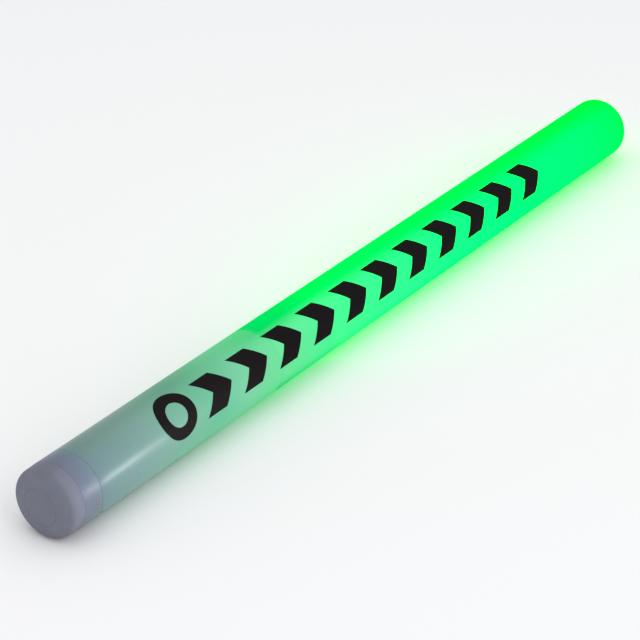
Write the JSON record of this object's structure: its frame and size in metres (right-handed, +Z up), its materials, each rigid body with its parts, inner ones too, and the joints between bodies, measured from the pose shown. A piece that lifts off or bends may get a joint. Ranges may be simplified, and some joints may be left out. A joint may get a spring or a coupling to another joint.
{
  "type": "traffic baton light",
  "caption": "Hand-held lighted traffic baton: milky tube, glowing in front of the grip, with a push button in the turn-to-open end cap.",
  "frame": {"origin": "bottom centre of the bounding box: on the surface the baton lies on, under the middle of its length", "axes": "+X along the baton from the end cap to the tip, +Z up"},
  "size_m": [0.406, 0.0278, 0.0279],
  "materials": {
    "milky_tube": "semi-gloss, frosted and translucent",
    "cap_plastic": "satin moulded",
    "button_rubber": "matt",
    "seal_rubber": "matt, greased",
    "white_plastic": "satin moulded",
    "black_plastic": "satin moulded",
    "spring_steel": "drawn, plated",
    "nickel": "nickel plated",
    "cell_wrap": "printed foil wrap over a metal can",
    "circuit_board": "solder mask",
    "resistor_ceramic": "fired ceramic",
    "led_epoxy": "polished clear tinted",
    "clear_plastic": "polished clear",
    "mirror_plating": "vacuum plated mirror",
    "red_insulation": "extruded",
    "black_insulation": "extruded",
    "white_insulation": "extruded"
  },
  "bodies": {
    "baton": {"diffuser_tube": "milky_tube", "tip_cap": "milky_tube", "grip_liner": "white_plastic", "switch_body": "black_plastic", "switch_board": "circuit_board", "switch_screw_1": "spring_steel", "switch_screw_2": "spring_steel", "switch_housing": "white_plastic", "battery_frame": "black_plastic", "battery_1": "cell_wrap", "battery_2": "cell_wrap", "battery_3": "cell_wrap", "battery_spring_1": "spring_steel", "battery_spring_2": "spring_steel", "battery_spring_3": "spring_steel", "rear_terminal": "nickel", "rear_bridge": "nickel", "front_bridge": "nickel", "front_terminal": "nickel", "driver_tray": "white_plastic", "frame_screw_1": "spring_steel", "frame_screw_2": "spring_steel", "head_screw_1": "spring_steel", "head_screw_2": "spring_steel", "driver_board": "circuit_board", "driver_screw_1": "spring_steel", "driver_screw_2": "spring_steel", "driver_chip": "black_plastic", "capacitor": "mirror_plating", "resistor_1": "resistor_ceramic", "resistor_2": "resistor_ceramic", "resistor_3": "resistor_ceramic", "led_housing": "white_plastic", "led_board": "circuit_board", "led_holder": "white_plastic", "led_1": "led_epoxy", "led_2": "led_epoxy", "led_3": "led_epoxy", "reflector": "mirror_plating", "lens": "clear_plastic", "white_lead": "white_insulation", "black_lead": "black_insulation", "red_lead": "red_insulation", "led_lead_red": "red_insulation", "led_lead_black": "black_insulation"},
    "cap": {"end_cap": "cap_plastic", "cap_seal": "seal_rubber", "swivel_clip": "spring_steel"},
    "button": {"push_button": "button_rubber"},
    "plunger": {"switch_plunger": "white_plastic"}
  },
  "joints": [
    {"name": "cap_turn", "type": "hinge", "parent": "baton", "child": "cap", "pos_m": [-0.203, 0, 0.01393], "axis": [-1, 0, 0], "range_deg": [0, 45]},
    {"name": "button_press", "type": "slide", "parent": "cap", "child": "button", "axis": [1, 0, 0], "range_m": [0, 0.0015], "stiffness_N_per_m": 1200},
    {"name": "plunger_press", "type": "slide", "parent": "baton", "child": "plunger", "axis": [1, 0, 0], "range_m": [0, 0.0015]}
  ],
  "couplings": [
    {"joint": "plunger_press", "follows": "button_press", "ratio": 1}
  ]
}
